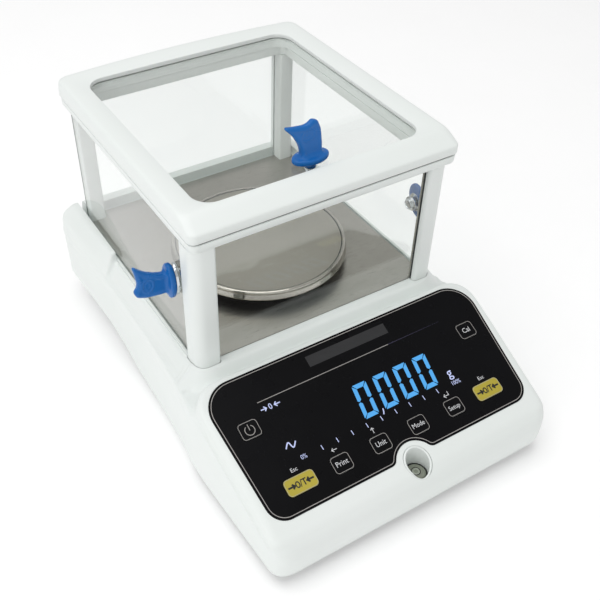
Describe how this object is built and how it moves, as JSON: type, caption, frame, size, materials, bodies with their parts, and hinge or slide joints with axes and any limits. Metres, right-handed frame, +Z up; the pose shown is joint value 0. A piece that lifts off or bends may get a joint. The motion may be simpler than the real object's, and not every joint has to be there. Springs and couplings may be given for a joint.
{
  "type": "analytical balance",
  "caption": "Laboratory balance with round pan in a glass draught shield with sliding side doors and lid, and a sloping keypad with display.",
  "frame": {"origin": "on the bench, under the centre of the housing's outline", "axes": "+Z up, +Y from the keypad towards the back, +X to the user's right"},
  "size_m": [0.234, 0.3254, 0.2112],
  "materials": {
    "white_plastic": "fine satin texture, warm to greenish white",
    "tray_plastic": "plain moulded",
    "rubber": "matte",
    "glass_clear": "clear float glass, green at the edges",
    "brushed_steel": "fine brushed",
    "polished_steel": "polished rim, satin top",
    "chrome": "polished",
    "blue_plastic": "satin moulded",
    "panel_film": "smooth polyester film",
    "amber_film": "smooth polyester film",
    "circuit_board": "solder resist",
    "display_glass": "negative liquid crystal with blue digits",
    "vial_glass": "clear with liquid and bubble",
    "aluminium": "machined"
  },
  "bodies": {
    "base": {"upper_housing": "white_plastic", "top_frame": "white_plastic", "shield_rail": "white_plastic", "post_front_left": "white_plastic", "post_front_right": "white_plastic", "post_rear_left": "white_plastic", "post_rear_right": "white_plastic", "left_door_track": "white_plastic", "right_door_track": "white_plastic", "level_bezel": "white_plastic", "base_tray": "tray_plastic", "power_socket": "rubber", "serial_port": "rubber", "front_glass": "glass_clear", "rear_glass": "glass_clear", "deck_plate": "brushed_steel", "tray_screw_1": "chrome", "tray_screw_2": "chrome", "tray_screw_3": "chrome", "tray_screw_4": "chrome", "keypad_overlay": "panel_film", "key_board": "circuit_board", "main_board": "circuit_board", "display_module": "display_glass", "level_vial": "vial_glass", "load_cell": "aluminium", "load_cell_mount": "aluminium"},
    "platform": {"pan_support": "rubber"},
    "pan": {"weighing_pan": "polished_steel"},
    "left_door_body": {"left_door": "glass_clear", "left_knob": "blue_plastic", "left_knob_washer": "chrome", "left_knob_cap": "blue_plastic", "left_knob_screw": "chrome"},
    "right_door_body": {"right_door": "glass_clear", "right_knob": "blue_plastic", "right_knob_washer": "chrome", "right_knob_cap": "blue_plastic", "right_knob_screw": "chrome"},
    "lid_body": {"lid_glass": "glass_clear", "lid_knob": "blue_plastic", "lid_knob_washer": "chrome", "lid_knob_cap": "blue_plastic", "lid_knob_screw": "chrome"},
    "key_power_body": {"key_power": "panel_film"},
    "key_calibrate_body": {"key_calibrate": "panel_film"},
    "key_print_body": {"key_print": "panel_film"},
    "key_unit_body": {"key_unit": "panel_film"},
    "key_mode_body": {"key_mode": "panel_film"},
    "key_setup_body": {"key_setup": "panel_film"},
    "key_tare_left_body": {"key_tare_left": "amber_film"},
    "key_tare_right_body": {"key_tare_right": "amber_film"},
    "foot_front_left": {"foot_pad_front_left": "rubber"},
    "foot_front_left_wheel": {"foot_screw_front_left": "tray_plastic"},
    "foot_front_right": {"foot_pad_front_right": "rubber"},
    "foot_front_right_wheel": {"foot_screw_front_right": "tray_plastic"},
    "foot_rear_left": {"foot_pad_rear_left": "rubber"},
    "foot_rear_left_wheel": {"foot_screw_rear_left": "tray_plastic"},
    "foot_rear_right": {"foot_pad_rear_right": "rubber"},
    "foot_rear_right_wheel": {"foot_screw_rear_right": "tray_plastic"}
  },
  "joints": [
    {"name": "pan_deflection", "type": "slide", "parent": "base", "child": "platform", "axis": [0, 0, -1], "range_m": [0, 0.0004]},
    {"name": "pan_lift_off", "type": "slide", "parent": "platform", "child": "pan", "axis": [0, 0, 1], "range_m": [0, 0.03]},
    {"name": "left_door_slide", "type": "slide", "parent": "base", "child": "left_door_body", "axis": [0, 1, 0], "range_m": [0, 0.14]},
    {"name": "right_door_slide", "type": "slide", "parent": "base", "child": "right_door_body", "axis": [0, 1, 0], "range_m": [0, 0.14]},
    {"name": "lid_slide", "type": "slide", "parent": "base", "child": "lid_body", "axis": [0, 1, 0], "range_m": [0, 0.14]},
    {"name": "key_power_press", "type": "slide", "parent": "base", "child": "key_power_body", "axis": [0, 0.3827, -0.9239], "range_m": [0, 0.0005]},
    {"name": "key_calibrate_press", "type": "slide", "parent": "base", "child": "key_calibrate_body", "axis": [0, 0.3827, -0.9239], "range_m": [0, 0.0005]},
    {"name": "key_print_press", "type": "slide", "parent": "base", "child": "key_print_body", "axis": [0, 0.3827, -0.9239], "range_m": [0, 0.0005]},
    {"name": "key_unit_press", "type": "slide", "parent": "base", "child": "key_unit_body", "axis": [0, 0.3827, -0.9239], "range_m": [0, 0.0005]},
    {"name": "key_mode_press", "type": "slide", "parent": "base", "child": "key_mode_body", "axis": [0, 0.3827, -0.9239], "range_m": [0, 0.0005]},
    {"name": "key_setup_press", "type": "slide", "parent": "base", "child": "key_setup_body", "axis": [0, 0.3827, -0.9239], "range_m": [0, 0.0005]},
    {"name": "key_tare_left_press", "type": "slide", "parent": "base", "child": "key_tare_left_body", "axis": [0, 0.3827, -0.9239], "range_m": [0, 0.0005]},
    {"name": "key_tare_right_press", "type": "slide", "parent": "base", "child": "key_tare_right_body", "axis": [0, 0.3827, -0.9239], "range_m": [0, 0.0005]},
    {"name": "foot_front_left_height", "type": "slide", "parent": "base", "child": "foot_front_left", "axis": [0, 0, 1], "range_m": [-0.004, 0.001]},
    {"name": "foot_front_left_turn", "type": "hinge", "parent": "foot_front_left", "child": "foot_front_left_wheel", "pos_m": [-0.084, -0.112, 0.004], "axis": [0, 0, 1], "range_deg": [-1445, 365]},
    {"name": "foot_front_right_height", "type": "slide", "parent": "base", "child": "foot_front_right", "axis": [0, 0, 1], "range_m": [-0.004, 0.001]},
    {"name": "foot_front_right_turn", "type": "hinge", "parent": "foot_front_right", "child": "foot_front_right_wheel", "pos_m": [0.084, -0.112, 0.004], "axis": [0, 0, 1], "range_deg": [-1445, 365]},
    {"name": "foot_rear_left_height", "type": "slide", "parent": "base", "child": "foot_rear_left", "axis": [0, 0, 1], "range_m": [-0.004, 0.001]},
    {"name": "foot_rear_left_turn", "type": "hinge", "parent": "foot_rear_left", "child": "foot_rear_left_wheel", "pos_m": [-0.084, 0.128, 0.004], "axis": [0, 0, 1], "range_deg": [-1445, 365]},
    {"name": "foot_rear_right_height", "type": "slide", "parent": "base", "child": "foot_rear_right", "axis": [0, 0, 1], "range_m": [-0.004, 0.001]},
    {"name": "foot_rear_right_turn", "type": "hinge", "parent": "foot_rear_right", "child": "foot_rear_right_wheel", "pos_m": [0.084, 0.128, 0.004], "axis": [0, 0, 1], "range_deg": [-1445, 365]}
  ],
  "couplings": [
    {"joint": "foot_front_left_turn", "follows": "foot_front_left_height", "rad_per_m": 6283.2},
    {"joint": "foot_front_right_turn", "follows": "foot_front_right_height", "rad_per_m": 6283.2},
    {"joint": "foot_rear_left_turn", "follows": "foot_rear_left_height", "rad_per_m": 6283.2},
    {"joint": "foot_rear_right_turn", "follows": "foot_rear_right_height", "rad_per_m": 6283.2}
  ]
}
